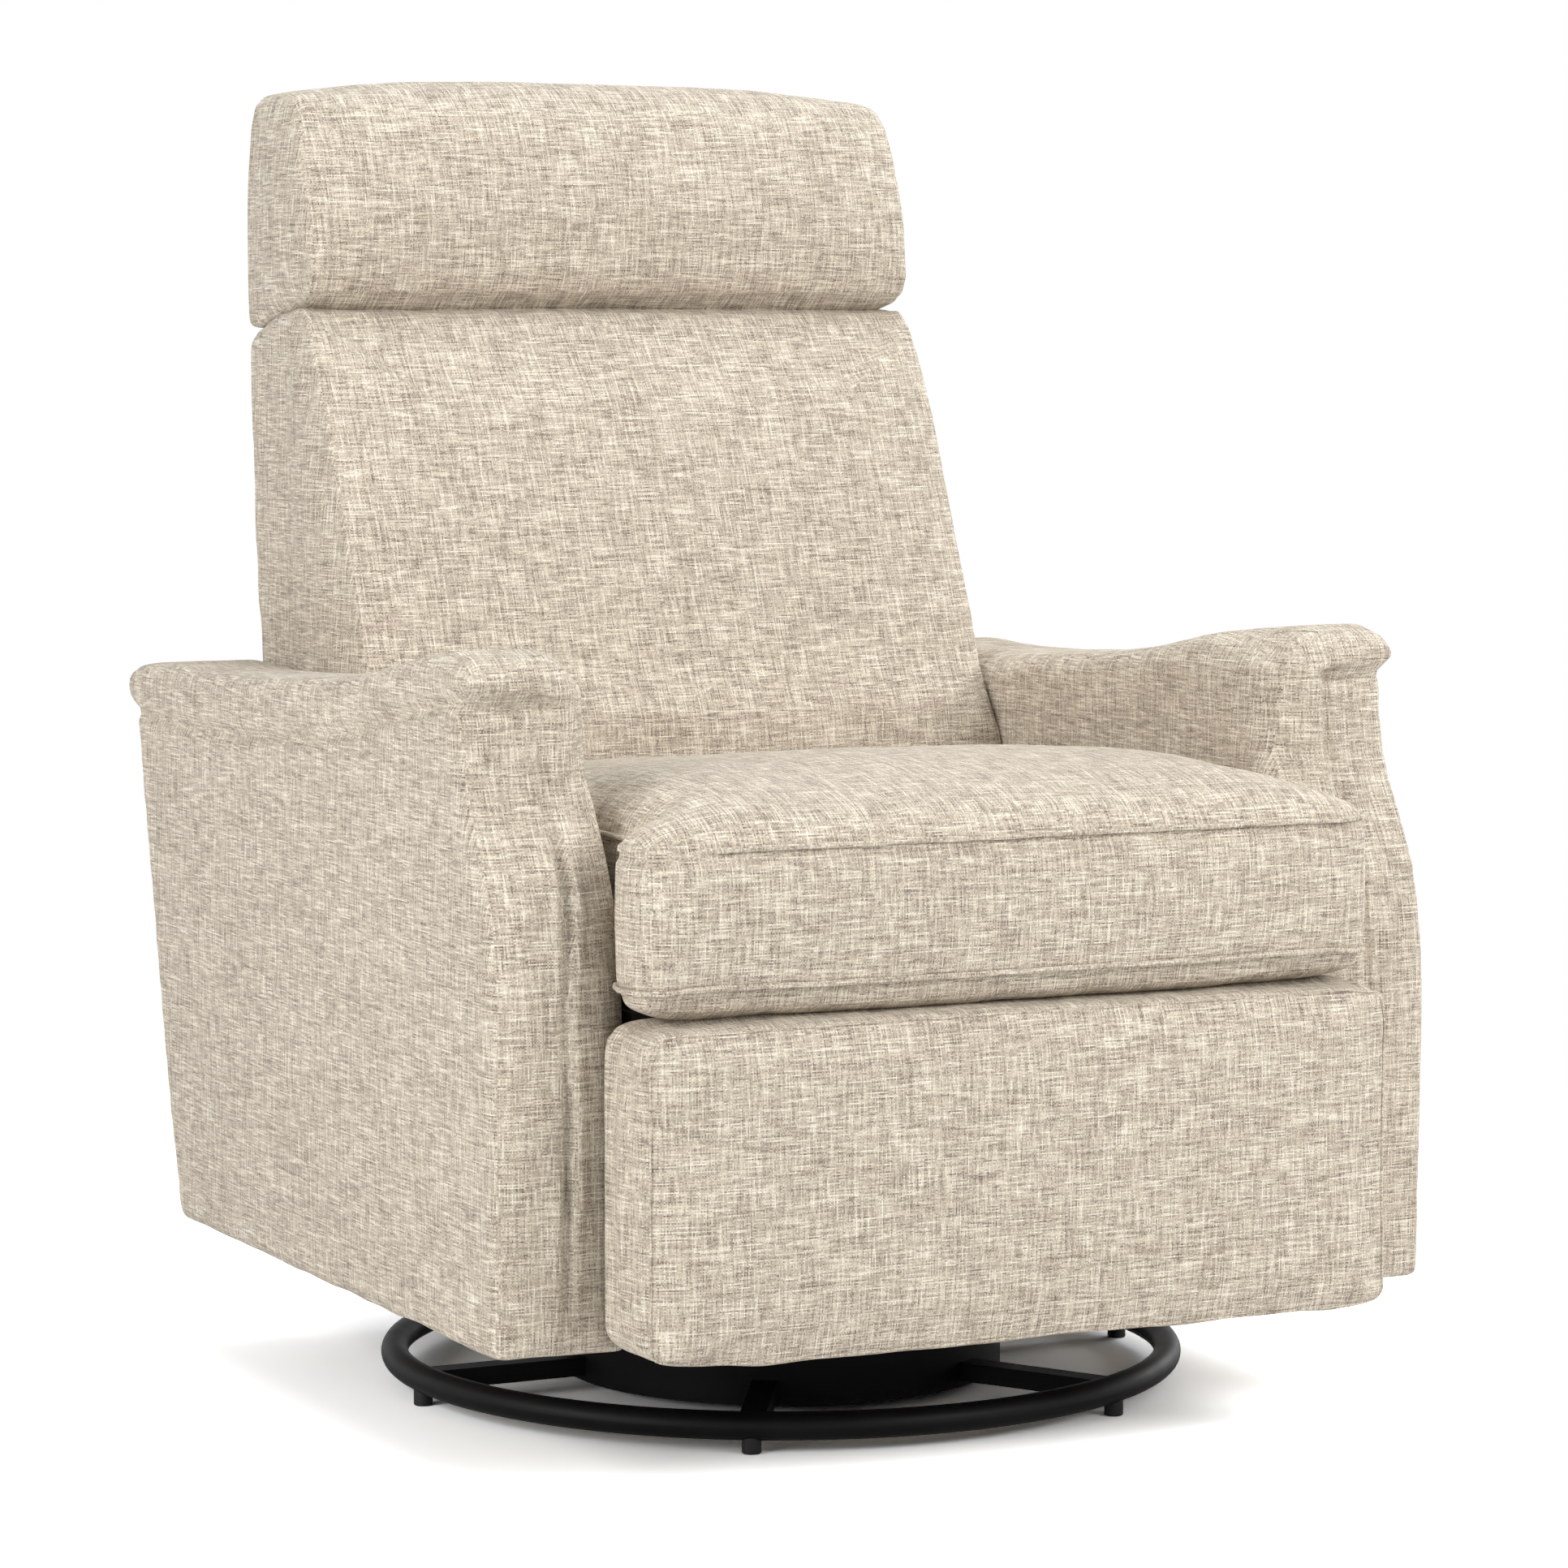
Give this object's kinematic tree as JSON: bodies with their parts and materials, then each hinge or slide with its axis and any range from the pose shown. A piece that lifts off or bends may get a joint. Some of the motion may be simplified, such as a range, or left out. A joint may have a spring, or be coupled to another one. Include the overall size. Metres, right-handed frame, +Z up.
{
  "type": "glider nursery chair",
  "caption": "Upholstered swivel glider recliner: ring base, swinging carriage, padded arms, T-shaped seat cushion, reclining back, tilting headrest, fold-out legrest.",
  "frame": {"origin": "on the floor under the middle of the chair's outline", "axes": "+Z up, -Y towards the sitter's feet, +X to the sitter's left"},
  "size_m": [0.796, 0.891, 1.053],
  "materials": {
    "black_steel": "satin black powder coat",
    "glide_plastic": "moulded black glide",
    "mechanism_steel": "dark grey mechanism paint",
    "bright_steel": "zinc plated",
    "bumper_rubber": "matte",
    "upholstery": "oatmeal linen-look tweed with slubs and dark flecks",
    "frame_wood": "raw plywood and hardwood",
    "webbing": "black elastic webbing",
    "lever_plastic": "fine grain"
  },
  "bodies": {
    "base": {"base_ring": "black_steel", "base_spokes": "black_steel", "base_feet": "glide_plastic", "hub_drum": "black_steel", "bearing_lower_race": "bright_steel", "bearing_balls": "bright_steel", "king_pin": "bright_steel", "king_nut": "bright_steel"},
    "swivel": {"bearing_upper_race": "bright_steel", "swivel_plate": "mechanism_steel", "glider_stands": "mechanism_steel", "glider_bumpers": "bumper_rubber", "glider_upper_pins": "bright_steel"},
    "front_links": {"front_swing_links": "mechanism_steel"},
    "rear_links": {"rear_swing_links": "mechanism_steel"},
    "carriage": {"glider_lower_pins": "bright_steel", "glider_hangers": "mechanism_steel", "cross_tubes": "mechanism_steel", "side_plate_right": "mechanism_steel", "side_plate_left": "mechanism_steel", "seat_side_rails": "frame_wood", "seat_cross_rails": "frame_wood", "seat_springs": "bright_steel", "spring_clips": "bright_steel", "seat_cushion": "upholstery", "left_arm_pad": "upholstery", "left_arm_cover": "upholstery", "left_arm_frame": "frame_wood", "right_arm_pad": "upholstery", "right_arm_cover": "upholstery", "right_arm_frame": "frame_wood", "arm_bolts": "bright_steel", "rear_apron": "upholstery", "lever_bezel": "lever_plastic", "lever_spring": "bright_steel", "recline_brackets": "mechanism_steel", "recline_pins": "bright_steel", "legrest_root_pins": "bright_steel"},
    "lever": {"release_lever": "lever_plastic"},
    "back": {"back_cushion": "upholstery", "back_shell": "upholstery", "back_stiles": "frame_wood", "back_rails": "frame_wood", "back_webbing": "webbing", "back_brackets": "mechanism_steel", "headrest_hinge_arms": "mechanism_steel", "headrest_pins": "bright_steel"},
    "headrest": {"headrest_pad": "upholstery", "headrest_board": "frame_wood", "headrest_leaves": "mechanism_steel"},
    "upper_links": {"legrest_upper_links": "mechanism_steel", "legrest_knee_pins": "bright_steel"},
    "upper_control": {"legrest_upper_control_links": "mechanism_steel"},
    "lower_links": {"legrest_lower_links": "mechanism_steel", "legrest_slot_pins": "bright_steel"},
    "lower_control": {"legrest_lower_control_links": "mechanism_steel"},
    "legrest": {"legrest_pad": "upholstery", "legrest_board": "frame_wood", "legrest_brackets": "mechanism_steel", "legrest_ankle_pins": "bright_steel"}
  },
  "joints": [
    {"name": "swivel", "type": "hinge", "parent": "base", "child": "swivel", "pos_m": [0, -0.019, 0.09], "axis": [0, 0, 1], "continuous": true},
    {"name": "glide", "type": "hinge", "parent": "swivel", "child": "front_links", "pos_m": [0, -0.129, 0.262], "axis": [-1, 0, 0], "range_deg": [-25, 25]},
    {"name": "glide_rear", "type": "hinge", "parent": "swivel", "child": "rear_links", "pos_m": [0, 0.091, 0.262], "axis": [-1, 0, 0], "range_deg": [-25.5, 25.5]},
    {"name": "glide_level", "type": "hinge", "parent": "front_links", "child": "carriage", "pos_m": [0, -0.129, 0.122], "axis": [-1, 0, 0], "range_deg": [-25.5, 25.5]},
    {"name": "recline", "type": "hinge", "parent": "carriage", "child": "back", "pos_m": [0, 0.335, 0.345], "axis": [-1, 0, 0], "range_deg": [0, 38]},
    {"name": "headrest_tilt", "type": "hinge", "parent": "back", "child": "headrest", "pos_m": [0, 0.338, 0.852], "axis": [1, 0, 0], "range_deg": [0, 20]},
    {"name": "legrest_open", "type": "hinge", "parent": "carriage", "child": "upper_links", "pos_m": [0, -0.33, 0.296], "axis": [-1, 0, 0], "range_deg": [0, 105]},
    {"name": "legrest_fold", "type": "hinge", "parent": "upper_links", "child": "lower_links", "pos_m": [0, -0.30395, 0.14828], "axis": [-1, 0, 0], "range_deg": [-153, 0.5]},
    {"name": "legrest_turn", "type": "hinge", "parent": "lower_links", "child": "legrest", "pos_m": [0, -0.35279, 0.26334], "axis": [-1, 0, 0], "range_deg": [-0.5, 136]},
    {"name": "legrest_upper_guide", "type": "hinge", "parent": "carriage", "child": "upper_control", "pos_m": [0, -0.2845, 0.3], "axis": [-1, 0, 0], "range_deg": [-0.5, 99]},
    {"name": "legrest_lower_guide", "type": "hinge", "parent": "upper_links", "child": "lower_control", "pos_m": [0, -0.30192, 0.12467], "axis": [-1, 0, 0], "range_deg": [-153, 0.5]},
    {"name": "release_lever", "type": "hinge", "parent": "carriage", "child": "lever", "pos_m": [-0.28, -0.165, 0.548], "axis": [-1, 0, 0], "range_deg": [0, 30], "stiffness_Nm_per_rad": 0.05, "springref_deg": -17.19}
  ],
  "couplings": [
    {"joint": "glide_rear", "follows": "glide", "ratio": 1},
    {"joint": "glide_level", "follows": "glide", "ratio": -1},
    {"joint": "legrest_fold", "follows": "legrest_open", "ratio": -1.4476},
    {"joint": "legrest_turn", "follows": "legrest_open", "ratio": 1.2857},
    {"joint": "legrest_upper_guide", "follows": "legrest_open", "ratio": 0.9314},
    {"joint": "legrest_lower_guide", "follows": "legrest_open", "ratio": -1.4444}
  ]
}
